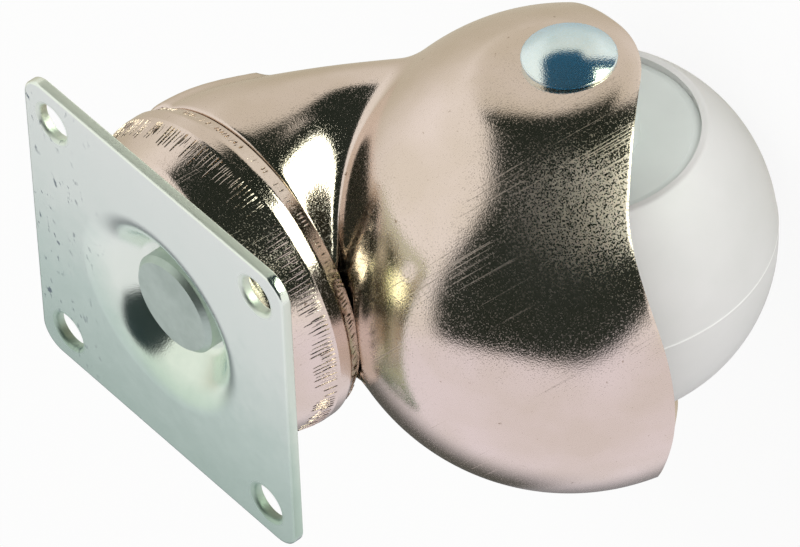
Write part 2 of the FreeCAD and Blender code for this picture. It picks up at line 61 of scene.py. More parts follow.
# Widths from here on are from the middle of the wheel.
EAR, AXLE_RADIUS, AXLE_HEAD = 25.0, 3.0, 5.2
AXLE_HEAD_LAND, AXLE_HEAD_TOP = EAR + 0.35, EAR + 1.9
WHEEL_RADIUS, WHEEL_SIDE, DISC_RADIUS, DISC_FACE = 20.0, 14.5, 13.0, 14.0
DISC_BEVEL, DISC_BEVEL_DROP = 1.0, 0.4
HUB_RADIUS, HUB_TIP, HUB_END, SLEEVE_BORE = 6.5, 5.9, 22.276, 4.11
RIB_RADIUS, RIB_HALF = 15.0, 4.0
FLOOR_LEVEL = -WHEEL_DROP - WHEEL_RADIUS

SWIVEL = Matrix.Rotation(SWIVEL_TURN, 4, "Z")
AXLE = SWIVEL @ Matrix.Translation((TRAIL, 0, -WHEEL_DROP)) @ Matrix.Rotation(-math.pi / 2, 4, "X")

# Points nearer than this are one, and edges that turn by more than this angle stay sharp.
MERGE_DISTANCE, SHARP_EDGE = 1e-4, math.radians(38)


# Meshes

def rounded(points, radii, steps=10, support=0.06):
    """A profile through the points with rounded corners, and a short straight on both sides of each arc."""
    line = []
    for index, (point, radius) in enumerate(zip(points, radii)):
        here = np.array(point, float)
        if not radius or index in (0, len(points) - 1):
            line.append(here)
            continue
        back = np.array(points[index - 1], float) - here
        ahead = np.array(points[index + 1], float) - here
        back /= np.linalg.norm(back)
        ahead /= np.linalg.norm(ahead)
        half = math.acos(np.clip(back @ ahead, -1, 1)) / 2
        reach = radius / math.tan(half)
        centre = here + (back + ahead) / np.linalg.norm(back + ahead) * radius / math.sin(half)
        start, end = here + back * reach - centre, here + ahead * reach - centre
        sweep = math.pi - 2 * half
        line.append(here + back * (reach + support))
        for step in range(steps + 1):
            share = step / steps
            spoke = math.sin((1 - share) * sweep) * start + math.sin(share * sweep) * end
            line.append(centre + spoke / math.sin(sweep))
        line.append(here + ahead * (reach + support))
    return np.array(line)


def ring(radius, steps, x=0.0, y=0.0):
    """Points round a circle."""
    turn = np.arange(steps) * 2 * math.pi / steps
    return np.stack([x + radius * np.cos(turn), y + radius * np.sin(turn)], 1)


def level(loop, z):
    """A flat loop put at a height."""
    return np.column_stack([loop, np.full(len(loop), z)])


def spun(profile, steps, x=0.0, y=0.0):
    """The loops of a profile of (radius, height) turned about the upright axis."""
    return [level(ring(radius, steps, x, y), z) for radius, z in profile]


def skin(form, loops, closed=False):
    """Add quads between loops of equal length, and from the last to the first where the section is closed."""
    rows = [[form.verts.new(point) for point in loop] for loop in loops]
    pairs = list(zip(rows, rows[1:])) + ([(rows[-1], rows[0])] if closed else [])
    for low, high in pairs:
        for index in range(len(low)):
            beside = (index + 1) % len(low)
            form.faces.new((low[index], low[beside], high[beside], high[index]))


def meshed(name, form):
    """A form as a plain mesh, with its doubles merged and its faces turned outwards."""
    bmesh.ops.remove_doubles(form, verts=form.verts, dist=MERGE_DISTANCE)
    bmesh.ops.recalc_face_normals(form, faces=form.faces)
    mesh = bpy.data.meshes.new(name)
    form.to_mesh(mesh)
    form.free()
    return mesh


def in_scene(name, data):
    """A new object in the scene."""
    obj = bpy.data.objects.new(name, data)
    bpy.context.scene.collection.objects.link(obj)
    return obj


def made_plain(obj):
    """The evaluated mesh of an object with modifiers, and the object taken away."""
    graph = bpy.context.evaluated_depsgraph_get()
    whole = obj.evaluated_get(graph)
    mesh = bpy.data.meshes.new_from_object(whole, preserve_all_data_layers=True, depsgraph=graph)
    bpy.data.objects.remove(obj)
    return mesh


def dressed(name, mesh, body, slot, finish, *nodes):
    """Make a mesh in metres a piece of the object, which rides on a body and stands for its solids."""
    mesh.shade_smooth()
    mesh.set_sharp_from_angle(angle=SHARP_EDGE)
    mesh.materials.clear()
    mesh.materials.append(finish)
    obj = in_scene(name, mesh)
    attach(obj, body)
    if nodes:
        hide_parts(*nodes)


def piece(name, form, body, slot, finish, *nodes, place=Matrix()):
    """Make a form in millimetres a piece of the object, put in its place."""
    mesh = meshed(name, form)
    mesh.transform(Matrix.Scale(MM, 4) @ place)
    dressed(name, mesh, body, slot, finish, *nodes)


# Materials

def linear(code):
    """An sRGB hex colour as linear RGBA."""
    shares = [int(code[index:index + 2], 16) / 255 for index in (1, 3, 5)]
    curved = [share / 12.92 if share <= 0.04045 else ((share + 0.055) / 1.055) ** 2.4 for share in shares]
    return curved + [1.0]


def add(tree, kind, links=(), **settings):
    """Add a node. Each link is an input with a plain value, a socket, or a node for its first output."""
    made = tree.nodes.new(kind)
    for name, value in settings.items():
        setattr(made, name, value)
    for name, value in links:
        if isinstance(value, bpy.types.Node):
            value = next(socket for socket in value.outputs if socket.enabled)
        if isinstance(value, bpy.types.NodeSocket):
            tree.links.new(value, made.inputs[name])
        else:
            made.inputs[name].default_value = value
    return made


def surface(name, **values):
    """A material with one principled shader, its plain values and the object's coordinates in millimetres."""
    material = bpy.data.materials.new(name)
    material.use_nodes = True
    tree = material.node_tree
    shader = tree.nodes["Principled BSDF"]
    for socket, value in values.items():
        shader.inputs[socket.replace("_", " ")].default_value = value
    metres = add(tree, "ShaderNodeTexCoord").outputs["Object"]
    place = add(tree, "ShaderNodeVectorMath", [(0, metres), ("Scale", 1 / MM)], operation="SCALE")
    return material, tree, shader, place


# The polishing scratches run along the first of these ways and show no change along the last. Real ones are
# thinner, and these are drawn wide enough to show.
SCRATCH_WAYS = ((0.294, 0.311, -0.904), (-0.804, 0.592, -0.058), (0.517, 0.744, 0.424))
SCRATCH_TURN = Matrix(SCRATCH_WAYS).transposed().to_euler()
SCRATCH_SIZE = (22.0, 0.24, 400.0)
# The middle of the most rubbed place, on the hood below the axle's head, and of the place with the
# coarsest grain, with the distances from it at which each starts and is full.
RUBBED_PLACE, RUBBED_START, RUBBED_FULL = (33.0, 27.0, -34.7), 11.0, 3.0
COARSE_PLACE, COARSE_START, COARSE_FULL = (35.3, 24.4, -28.0), 10.0, 3.0


def bright_nickel():
    """Bright nickel on pressed steel: warm and glossy, with the grain of the sheet sparkling where the
    reflections are dark, sets of long polishing scratches and a few brown stains."""
    material, tree, shader, place = surface("bright_nickel_on_pressed_steel", Metallic=1.0)
    # The real grain is finer than this, and is drawn coarse enough to show.
    cloud_size, stain_size, patch_size, grain_size, grain_depth = 9.0, 0.9, 8.0, 0.17, 0.05

    cloud = add(tree, "ShaderNodeTexNoise", [("Vector", place), ("Scale", 1 / cloud_size), ("Detail", 3.0)])
    paler = add(tree, "ShaderNodeMapRange", [("Value", cloud), ("From Min", 0.35), ("From Max", 0.65)])
    tone = add(tree, "ShaderNodeMix", [("Factor", paler), ("A", linear("#D9CABA")), ("B", linear("#E3D4C9"))],
               data_type="RGBA")
    speck = add(tree, "ShaderNodeTexNoise", [("Vector", place), ("Scale", 1 / stain_size), ("Detail", 4.0)])
    stain = add(tree, "ShaderNodeMapRange", [("Value", speck), ("From Min", 0.70), ("From Max", 0.78)])
    stained = add(tree, "ShaderNodeMix", [("Factor", stain), ("A", tone), ("B", linear("#8A7660"))],
                  data_type="RGBA")
    tree.links.new(stained.outputs["Result"], shader.inputs["Base Color"])

    # Scratches, where the sheet is rubbed in patches and most in one place.
    along = add(tree, "ShaderNodeMapping",
                [("Vector", place), ("Rotation", SCRATCH_TURN), ("Scale", SCRATCH_SIZE)],
                vector_type="TEXTURE")
    line = add(tree, "ShaderNodeTexNoise", [("Vector", along), ("Scale", 1.0), ("Detail", 1.0)])
    patch = add(tree, "ShaderNodeTexNoise", [("Vector", place), ("Scale", 1 / patch_size), ("Detail", 1.0)])
    rubbed = add(tree, "ShaderNodeMapRange", [("Value", patch), ("From Min", 0.48), ("From Max", 0.62)])
    away = add(tree, "ShaderNodeVectorMath", [(0, place), (1, RUBBED_PLACE)], operation="DISTANCE")
    worn = add(tree, "ShaderNodeMapRange",
               [("Value", away), ("From Min", RUBBED_START), ("From Max", RUBBED_FULL)])
    denser = add(tree, "ShaderNodeMath", [(0, worn), (1, 0.07), (2, line)], operation="MULTIPLY_ADD")
    cut = add(tree, "ShaderNodeMapRange", [("Value", denser), ("From Min", 0.62), ("From Max", 0.72)])
    either = add(tree, "ShaderNodeMath", [(0, rubbed), (1, worn)], operation="MAXIMUM")
    scratch = add(tree, "ShaderNodeMath", [(0, cut), (1, either)], operation="MULTIPLY")

    # Grain, with duller sparks where it is coarse.
    grain = add(tree, "ShaderNodeTexNoise", [("Vector", place), ("Scale", 1 / grain_size), ("Detail", 1.0)])
    near = add(tree, "ShaderNodeVectorMath", [(0, place), (1, COARSE_PLACE)], operation="DISTANCE")
    coarse = add(tree, "ShaderNodeMapRange",
                 [("Value", near), ("From Min", COARSE_START), ("From Max", COARSE_FULL), ("To Max", 0.14)],
                 interpolation_type="SMOOTHSTEP")
    raised = add(tree, "ShaderNodeMath", [(0, grain), (1, coarse)], operation="ADD")
    spark = add(tree, "ShaderNodeMapRange", [("Value", raised), ("From Min", 0.52), ("From Max", 0.72),
                                             ("To Min", 0.10), ("To Max", 0.36)])
    extra = add(tree, "ShaderNodeMath", [(0, coarse), (1, spark)], operation="MULTIPLY")
    duller = add(tree, "ShaderNodeMath", [(0, extra), (1, 3.5), (2, spark)], operation="MULTIPLY_ADD")
    rough = add(tree, "ShaderNodeMath", [(0, scratch), (1, 0.3), (2, duller)], operation="MULTIPLY_ADD")
    tree.links.new(rough.outputs[0], shader.inputs["Roughness"])
    height = add(tree, "ShaderNodeMath", [(0, scratch), (1, -0.2), (2, grain)], operation="MULTIPLY_ADD")
    bump = add(tree, "ShaderNodeBump",
               [("Height", height), ("Strength", 0.22), ("Distance", grain_depth * MM)])
    tree.links.new(bump.outputs[0], shader.inputs["Normal"])
    return material


def plate_wear_and_painted_reflection(tree, place, cloud, rough):
    """What working the plate changes, and a painted reflection. Its tone is painted paler along its length as
    a reflection of the tent's edge and is paler down in the dish, and it is rougher at the sheared edges and
    round the punched holes."""
    half, cut_rough, screw = PLATE_WIDTH / 2, 0.35, (SCREW_SPACING / 2, SCREW_SPACING / 2, 0.0)
    axes = add(tree, "ShaderNodeSeparateXYZ", [("Vector", place)]).outputs
    # Painted reflection: the tone is ramped paler towards +Y across the plate.
    painted_reflection_ramp = add(tree, "ShaderNodeMapRange", [("Value", axes["Y"]), ("From Min", -half), ("From Max", half),
                                            ("To Min", -0.18), ("To Max", 0.82)])
    cloud_and_painted_ramp = add(tree, "ShaderNodeMath", [(0, cloud), (1, 0.36), (2, painted_reflection_ramp)], operation="MULTIPLY_ADD")
    # The tone is made paler down in the dish.
    paler_in_dish = add(tree, "ShaderNodeMapRange",
                  [("Value", axes["Z"]), ("From Min", -0.1), ("From Max", -1.5), ("To Max", 0.3)])
    share = add(tree, "ShaderNodeMath", [(0, cloud_and_painted_ramp), (1, paler_in_dish)], operation="ADD")

    quarter = add(tree, "ShaderNodeVectorMath", [(0, place)], operation="ABSOLUTE")
    sides = add(tree, "ShaderNodeSeparateXYZ", [("Vector", quarter)]).outputs
    widest = add(tree, "ShaderNodeMath", [(0, sides["X"]), (1, sides["Y"])], operation="MAXIMUM")
    sheared = add(tree, "ShaderNodeMapRange", [("Value", widest), ("From Min", half - 0.12),
                                               ("From Max", half - 0.04), ("To Max", cut_rough)])
    away = add(tree, "ShaderNodeVectorMath", [(0, quarter), (1, screw)], operation="DISTANCE")
    punched = add(tree, "ShaderNodeMapRange", [("Value", away), ("From Min", SCREW_HOLE + 0.6),
                                               ("From Max", SCREW_HOLE + 0.35), ("To Max", cut_rough)])
    worked = add(tree, "ShaderNodeMath", [(0, sheared), (1, punched)], operation="MAXIMUM")
    return share, add(tree, "ShaderNodeMath", [(0, rough), (1, worked)], operation="ADD")


def clouded_metal(name, tones, rough_low, rough_high, grain_size, film=0.0, plate=False):
    """Zinc plating or bare steel, clouded by handling, and on the plate with a painted reflection that ramps
    its tone along its length. The film on bright zinc turns blue where the reflections are dark. The grain is
    drawn coarser than the real one, so that it shows."""
    material, tree, shader, place = surface(name, Metallic=1.0, Sheen_Weight=film, Sheen_Roughness=0.8,
                                            Sheen_Tint=linear("#1F78A8"))
    cloud_size, grain_depth = 5.0, 0.05
    cloud = add(tree, "ShaderNodeTexNoise",
                [("Vector", place), ("Scale", 1 / cloud_size), ("Detail", 6.0), ("Roughness", 0.7)])
    rough = add(tree, "ShaderNodeMapRange", [("Value", cloud), ("To Min", rough_low), ("To Max", rough_high)])
    share, first, last = cloud, 0.35, 0.62
    if plate:
        share, rough = plate_wear_and_painted_reflection(tree, place, cloud, rough)
        first, last = 0.0, 1.0
    tone, stops = linear(tones[0]), np.linspace(first, last, len(tones))
    for low, high, code in zip(stops, stops[1:], tones[1:]):
        paler = add(tree, "ShaderNodeMapRange", [("Value", share), ("From Min", low), ("From Max", high)])
        tone = add(tree, "ShaderNodeMix", [("Factor", paler), ("A", tone), ("B", linear(code))],
                   data_type="RGBA")
    tree.links.new(tone.outputs["Result"], shader.inputs["Base Color"])
    tree.links.new(rough.outputs[0], shader.inputs["Roughness"])
    grain = add(tree, "ShaderNodeTexNoise", [("Vector", place), ("Scale", 1 / grain_size), ("Detail", 1.0)])
    bump = add(tree, "ShaderNodeBump",
               [("Height", grain), ("Strength", 0.25), ("Distance", grain_depth * MM)])
    tree.links.new(bump.outputs[0], shader.inputs["Normal"])
    return material, tree, shader, place


def scuffed(material, tree, shader, place):
    """Dark rubbed marks on the plate beside one edge, where it was handled."""
    mark_size, patch_size, start, full = (0.8, 1.6, 1.0), 5.0, -9.0, -18.0
    clean = shader.inputs["Base Color"].links[0].from_socket
    across = add(tree, "ShaderNodeSeparateXYZ", [("Vector", place)]).outputs["X"]
    beside = add(tree, "ShaderNodeMapRange", [("Value", across), ("From Min", start), ("From Max", full)])
    drawn = add(tree, "ShaderNodeMapping",
                [("Vector", place), ("Scale", mark_size), ("Rotation", (0, 0, 0.3))], vector_type="TEXTURE")
    mark = add(tree, "ShaderNodeTexNoise", [("Vector", drawn), ("Scale", 1.0), ("Detail", 3.0)])
    patch = add(tree, "ShaderNodeTexNoise", [("Vector", place), ("Scale", 1 / patch_size), ("Detail", 0.0)])
    rubbed = add(tree, "ShaderNodeMapRange", [("Value", mark), ("From Min", 0.60), ("From Max", 0.68)])
    kept = add(tree, "ShaderNodeMapRange", [("Value", patch), ("From Min", 0.44), ("From Max", 0.56)])
    zone = add(tree, "ShaderNodeMath", [(0, beside), (1, kept)], operation="MULTIPLY")
    share = add(tree, "ShaderNodeMath", [(0, rubbed), (1, zone)], operation="MULTIPLY")
    marked = add(tree, "ShaderNodeMix", [("Factor", share), ("A", clean), ("B", linear("#5F6C6A"))],
                 data_type="RGBA")
    tree.links.new(marked.outputs["Result"], shader.inputs["Base Color"])
    return material


def moulded(name, pale, dark, roughness):
    """A moulded plastic with faint flow clouds and a fine skin, which is drawn coarse enough to show."""
    material, tree, shader, place = surface(name, Roughness=roughness, IOR=1.5)
    cloud_size, grain_size, grain_depth = 7.0, 0.35, 0.03
    cloud = add(tree, "ShaderNodeTexNoise", [("Vector", place), ("Scale", 1 / cloud_size), ("Detail", 3.0)])
    paler = add(tree, "ShaderNodeMapRange", [("Value", cloud), ("From Min", 0.3), ("From Max", 0.7)])
    tone = add(tree, "ShaderNodeMix", [("Factor", paler), ("A", linear(dark)), ("B", linear(pale))],
               data_type="RGBA")
    tree.links.new(tone.outputs["Result"], shader.inputs["Base Color"])
    grain = add(tree, "ShaderNodeTexNoise", [("Vector", place), ("Scale", 1 / grain_size), ("Detail", 2.0)])
    bump = add(tree, "ShaderNodeBump",
               [("Height", grain), ("Strength", 0.06), ("Distance", grain_depth * MM)])
    tree.links.new(bump.outputs[0], shader.inputs["Normal"])
    return material, tree, shader, place


def painted_parting_highlight(material, tree, shader, place):
    """The thin pale line round the middle of the tyre, a painted highlight along the mould's parting line."""
    fade_end, fade_start = 0.15, 0.07
    plain = shader.inputs["Base Color"].links[0].from_socket
    aside = add(tree, "ShaderNodeVectorMath", [(0, place), (1, AXLE.col[2].xyz)], operation="DOT_PRODUCT")
    width = add(tree, "ShaderNodeMath", [(0, aside)], operation="ABSOLUTE")
    # Painted highlight: the base colour is made paler in a thin band round the tyre's middle.
    share = add(tree, "ShaderNodeMapRange",
                [("Value", width), ("From Min", fade_end), ("From Max", fade_start)])
    highlight_lined = add(tree, "ShaderNodeMix", [("Factor", share), ("A", plain), ("B", linear("#F4F4F1"))],
                data_type="RGBA")
    tree.links.new(highlight_lined.outputs["Result"], shader.inputs["Base Color"])
    return material


NICKEL = bright_nickel()
# The pressed plate is a pale green-grey half mirror, with a painted reflection that makes it paler towards
# one edge. The rivet is nearly a mirror.
PLATE_TONES = ("#ACC1AD", "#C4D6C4", "#E2ECDC", "#EBF2E3")
ZINC_PLATE = scuffed(*clouded_metal("bright_zinc_on_pressed_plate", PLATE_TONES, 0.13, 0.22, 0.16, 0.15,
                                    plate=True))
ZINC_RIVET, *_ = clouded_metal("bright_zinc_on_headed_rivet", ("#E0E8D8", "#F0F4E6"), 0.08, 0.16, 0.16, 1.0)
# The pin's dull zinc mirrors nothing sharply. The bearing's steel is darker, with the soft shine of grease.
ZINC_PIN, *_ = clouded_metal("dull_zinc_on_headed_pin", ("#ABBBAF", "#BCCBC0"), 0.36, 0.5, 0.4)
BEARING_STEEL, *_ = clouded_metal("greased_hardened_steel", ("#8C8B86", "#A9A8A4"), 0.25, 0.4, 0.4)
# The tyre's vinyl is a warm white with a satin skin, and the disc's polypropylene a cooler and greener white.
TYRE_VINYL = painted_parting_highlight(*moulded("soft_vinyl_moulded", "#DAD9D7", "#D5D5D2", 0.42))
HUB_PLASTIC, *_ = moulded("polypropylene_moulded", "#DDE3DF", "#D7DDD9", 0.4)


# Pieces of the mount

def square(inset, steps=12):
    """The plate's outline, drawn in by an inset."""
    half, corner = PLATE_WIDTH / 2 - inset, PLATE_CORNER - inset
    reach = half - corner
    points = []
    for quarter in range(4):
        middle = quarter * math.pi / 2 + math.pi / 4
        centre = np.array([math.copysign(reach, math.cos(middle)), math.copysign(reach, math.sin(middle))])
        for step in range(steps + 1):
            turn = quarter * math.pi / 2 + step / steps * math.pi / 2
            points.append(centre + corner * np.array([math.cos(turn), math.sin(turn)]))
    return np.array(points)


def flat(form, outlines, holes, z):
    """A flat face between an outline and round holes. Each is given as rings, the true edge first."""
    nearly = 0.9995
    points, edges = [], []
    for loop in outlines + [loop for *_, rings in holes for loop in rings]:
        first = len(points)
        points.extend(Vector(point) for point in loop)
        edges.extend((first + index, first + (index + 1) % len(loop)) for index in range(len(loop)))
    found, _, faces, *_ = delaunay_2d_cdt(points, edges, [], 0, 1e-6)
    corners = [form.verts.new((point.x, point.y, z)) for point in found]
    for face in faces:
        middle = sum((found[index] for index in face), Vector((0, 0))) / len(face)
        if all((middle - Vector(centre)).length > radius * nearly for centre, radius, _ in holes):
            form.faces.new([corners[index] for index in face])


def mounting_plate():
    """The pressed plate: rolled edges, punched holes with a drawn-in lip, and the dish for the pin's head."""
    top_round, under_round, lip, burr, dish_foot, support = 0.3, 0.2, 0.45, 0.12, 1.5, 0.1
    hole_steps, dish_steps = 48, 192
    under, half = -PLATE_SHEET, PLATE_SHEET / 2
    form = bmesh.new()
    edge = rounded([(1.0, 0), (0, 0), (0, under), (1.0, under)], [0, top_round, under_round, 0], 6, 0)[1:-1]
    skin(form, [level(square(inset), z) for inset, z in edge])
    wide = SCREW_HOLE + 1
    hole = rounded([(wide, 0), (SCREW_HOLE, 0), (SCREW_HOLE, under), (wide, under)],
                   [0, lip, burr, 0], 8, 0)[1:-1]
    flat_start = DISH_MOUTH + 5
    wall = rounded([(flat_start, 0), (DISH_MOUTH, 0), (DISH_FLOOR, -DISH_DEPTH), (PIN_HOLE, -DISH_DEPTH),
                    (PIN_HOLE, CUP_FLOOR), (DISH_FLOOR + half, CUP_FLOOR), (DISH_MOUTH + half, under),
                    (flat_start, under)],
                   [0, DISH_MOUTH_BEND, dish_foot, 0, 0, dish_foot, DISH_MOUTH_BEND - PLATE_SHEET, 0],
                   14)[2:-2]
    skin(form, spun(wall, dish_steps))
    screws = [(x * SCREW_SPACING / 2, y * SCREW_SPACING / 2) for x in (-1, 1) for y in (-1, 1)]
    for x, y in screws:
        skin(form, spun(hole, hole_steps, x, y))
    for end, z in ((0, 0.0), (-1, under)):
        radius, mouth, inset = hole[end][0], wall[end][0], edge[end][0]
        holes = [((x, y), radius, [ring(radius, hole_steps, x, y), ring(radius + support, hole_steps, x, y)])
                 for x, y in screws]
        holes.append(((0, 0), mouth, [ring(mouth, dish_steps), ring(mouth + support, dish_steps)]))
        flat(form, [square(inset), square(inset + support)], holes, z)
    piece("pressed_mounting_plate", form, "mount", "zinc_plate", ZINC_PLATE, "mounting_plate")


def king_pin():
    """The rivet that holds the swivel together, its flat head in the plate's dish."""
    profile = rounded([(0, PIN_HEAD_TOP), (PIN_HEAD - PIN_CHAMFER, PIN_HEAD_TOP),
                       (PIN_HEAD, PIN_HEAD_TOP - PIN_CHAMFER), (PIN_HEAD, -DISH_DEPTH),
                       (PIN_RADIUS, -DISH_DEPTH), (PIN_RADIUS, PIN_SET_TOP),
                       (PIN_SET, PIN_SET_TOP), (PIN_SET, PIN_END), (0, PIN_END)],
                      [0, 0.12, 0.12, 0, 0, 0, 0.1, 1.0, 0])
    form = bmesh.new()
    skin(form, spun(profile, 96))
    piece("headed_king_pin", form, "mount", "zinc_rivet", ZINC_PIN, "king_pin")


def swivel_cup():
    """The drawn cup over the bearing: a dish nested under the plate's, a round shoulder, a wall that widens
    to a ridge, and a band below it that is rolled in to the rim."""
    outside = [(PIN_HOLE, CUP_FLOOR), (CUP_DISH_FLOOR, CUP_FLOOR), (CUP_DISH_MOUTH, CUP_CROWN),
               (CUP_SHOULDER, CUP_CROWN), (CUP_RADIUS, CUP_RIDGE), (CUP_RADIUS, CUP_TURN),
               (CUP_RIM_RADIUS, CUP_RIM)]
    crown, floor, half = CUP_CROWN - CUP_SHEET, CUP_FLOOR - CUP_SHEET, CUP_SHEET / 2
    inside = [(CUP_RIM_RADIUS - CUP_SHEET, CUP_RIM), (CUP_RADIUS - CUP_SHEET, CUP_TURN),
              (CUP_RADIUS - CUP_SHEET, CUP_RIDGE), (CUP_SHOULDER - CUP_SHEET, crown),
              (CUP_DISH_MOUTH + half, crown), (CUP_DISH_FLOOR + half, floor), (PIN_HOLE, floor)]
    bends = [0, 0.3, 1.0, 3.0, 0.5, 1.0, 0.3, 0.3, 0.8, 0, 2.0, 1.0, 0.5, 0]
    form = bmesh.new()
    skin(form, spun(rounded(outside + inside, bends, 8, 0.03), 256), closed=True)
    piece("drawn_swivel_cup", form, "mount", "nickel", NICKEL, "swivel_cup")


def crimp_tree():
    """Geometry nodes for a band of fine strokes pressed into the cup round its ridge."""
    slant, shortest, longest = 0.03, 0.5, 1.15
    tree = bpy.data.node_groups.new("crimp_band", "GeometryNodeTree")
    inputs = {}
    for name, kind in (("Count", "Int"), ("Radius", "Float"), ("Level", "Float"), ("Length", "Float"),
                       ("Width", "Float"), ("Height", "Float"), ("Lean", "Float"), ("Scatter", "Float"),
                       ("Seed", "Int"), ("Finish", "Material")):
        socket = tree.interface.new_socket(name, in_out="INPUT", socket_type=f"NodeSocket{kind}")
        inputs[name] = socket.identifier
    tree.interface.new_socket("Marks", in_out="OUTPUT", socket_type="NodeSocketGeometry")
    given = add(tree, "NodeGroupInput").outputs
    circle = add(tree, "GeometryNodeMeshCircle", [("Vertices", given["Count"]), ("Radius", given["Radius"])])
    chance = add(tree, "FunctionNodeRandomValue", [("Min", -1.0), ("Max", 1.0), ("Seed", given["Seed"])])
    lift = add(tree, "ShaderNodeMath", [(0, chance), (1, given["Scatter"]), (2, given["Level"])],
               operation="MULTIPLY_ADD")
    offset = add(tree, "ShaderNodeCombineXYZ", [("Z", lift)])
    points = add(tree, "GeometryNodeSetPosition", [("Geometry", circle), ("Offset", offset)])
    lens = add(tree, "GeometryNodeMeshUVSphere", [("Segments", 6), ("Rings", 6), ("Radius", 1.0)])
    size = add(tree, "ShaderNodeCombineXYZ",
               [("X", given["Height"]), ("Y", given["Width"]), ("Z", given["Length"])])
    stroke = add(tree, "GeometryNodeTransform", [("Geometry", lens), ("Scale", size)])
    index = add(tree, "GeometryNodeInputIndex")
    step = add(tree, "ShaderNodeMath", [(0, 2 * math.pi), (1, given["Count"])], operation="DIVIDE")
    turn = add(tree, "ShaderNodeMath", [(0, index), (1, step)], operation="MULTIPLY")
    tilt = add(tree, "ShaderNodeMath", [(0, chance), (1, slant)], operation="MULTIPLY")
    way = add(tree, "ShaderNodeCombineXYZ", [("X", tilt), ("Y", given["Lean"]), ("Z", turn)])
    reach = add(tree, "FunctionNodeRandomValue",
                [("Min", shortest), ("Max", longest), ("Seed", given["Seed"])])
    longer = add(tree, "ShaderNodeCombineXYZ", [("X", 1.0), ("Y", 1.0), ("Z", reach)])
    placed = add(tree, "GeometryNodeInstanceOnPoints",
                 [("Points", points), ("Instance", stroke), ("Rotation", way), ("Scale", longer)])
    whole = add(tree, "GeometryNodeRealizeInstances", [("Geometry", placed)])
    finished = add(tree, "GeometryNodeSetMaterial", [("Geometry", whole), ("Material", given["Finish"])])
    add(tree, "NodeGroupOutput", [("Marks", finished)])
    return tree, inputs


def crimp_bands():
    """Two bands of strokes on the cup's wall, long and short, and one on the band that is rolled in."""
    tree, inputs = crimp_tree()
    roll_in = math.atan2(CUP_RADIUS - CUP_RIM_RADIUS, CUP_TURN - CUP_RIM)
    for name, count, radius, height, length, lean, seed in (
            ("long_crimp_marks", 230, 18.60, -7.4, 1.35, -CUP_DRAFT, 3),
            ("short_crimp_marks", 210, 18.74, -8.0, 0.8, -CUP_DRAFT, 8),
            ("rolled_band_marks", 260, 18.50, -11.35, 0.7, roll_in, 5)):
        sizes = {"Count": count, "Radius": radius * MM, "Level": height * MM, "Length": length * MM,
                 "Width": 0.085 * MM, "Height": 0.055 * MM, "Lean": lean, "Scatter": 0.25 * MM, "Seed": seed,
                 "Finish": NICKEL}
        obj = in_scene(name, bpy.data.meshes.new(name))
        nodes = obj.modifiers.new("crimp", "NODES")
        nodes.node_group = tree
        for word, value in sizes.items():
            nodes[inputs[word]] = value
        dressed(name, made_plain(obj), "mount", "nickel", NICKEL)


# Pieces of the horn

def spline(knots, values):
    """A natural cubic curve through values at rising knots, as a function."""
    knots, values = np.array(knots, float), np.array(values, float)
    gaps, slopes = np.diff(knots), np.diff(values) / np.diff(knots)
    count = len(knots)
    table = np.eye(count)
    wanted = np.zeros(count)
    for index in range(1, count - 1):
        table[index, index - 1:index + 2] = gaps[index - 1], 2 * (gaps[index - 1] + gaps[index]), gaps[index]
        wanted[index] = 6 * (slopes[index] - slopes[index - 1])
    bends = np.linalg.solve(table, wanted)

    def curve(at):
        at = np.clip(at, knots[0], knots[-1])
        span = np.clip(np.searchsorted(knots, at) - 1, 0, count - 2)
        gap = gaps[span]
        low, high = at - knots[span], knots[span + 1] - at
        cubic = (bends[span] * high**3 + bends[span + 1] * low**3) / (6 * gap)
        return (cubic + (values[span] / gap - bends[span] * gap / 6) * high
                + (values[span + 1] / gap - bends[span + 1] * gap / 6) * low)

    return curve


# The horn's round sections, from inside the hood up to the neck: how far down, how far back and how much
# wider, each as a share of the way from the neck's end to the middle of the hood.
HORN_SHARES = ((1.45, 1.00, 0.30), (1.00, 0.79, 0.42), (0.69, 0.465, 0.21), (0.33, 0.13, -0.02))
HORN_SECTIONS = [(NECK_END + down * (HOOD_MIDDLE[2] - NECK_END), back * HOOD_MIDDLE[0],
                  NECK_FLARE + wider * (HOOD_RADIUS - NECK_FLARE)) for down, back, wider in HORN_SHARES]
HORN_SECTIONS += [(NECK_END, 0.0, NECK_FLARE), (HORN_TOP + 2 * NECK_LENGTH, 0.0, NECK_RADIUS)]
horn_back = spline([row[0] for row in HORN_SECTIONS], [row[1] for row in HORN_SECTIONS])
horn_wide = spline([row[0] for row in HORN_SECTIONS], [row[2] for row in HORN_SECTIONS])
# The rim seen from the side: its low corner, its high corner, and level from there to the front.
RIM_LOW, RIM_HIGH = (TRAIL + 3.8, -WHEEL_DROP - 7.3), (TRAIL + 19.6, -WHEEL_DROP + 10.5)
RIM_LINE = rounded([(-30, -56.2), RIM_LOW, RIM_HIGH, (80, RIM_HIGH[1])], [0, 15.0, 10.0, 0], 24)
# How widely the horn is creased into the hood, and the hood rounded into its flat ears.
CREASE, SHOULDER = 0.9, 0.7
# The lap of sheet down the back of the neck: its rise, its half width, the level that it ends at, and the
# softness of its end and of its sides.
LAP_RISE, LAP_HALF, LAP_END, LAP_END_SOFT, LAP_SIDE_SOFT = 0.6, 14.0, NECK_END - 6.5, 0.15, 0.4
# The valley where the horn runs into the hood, with its place and spread round the horn in degrees.
VALLEY_DEPTH, VALLEY_WIDTH, VALLEY_PLACE, VALLEY_SPREAD = 1.5, 5.0, 60.0, 45.0
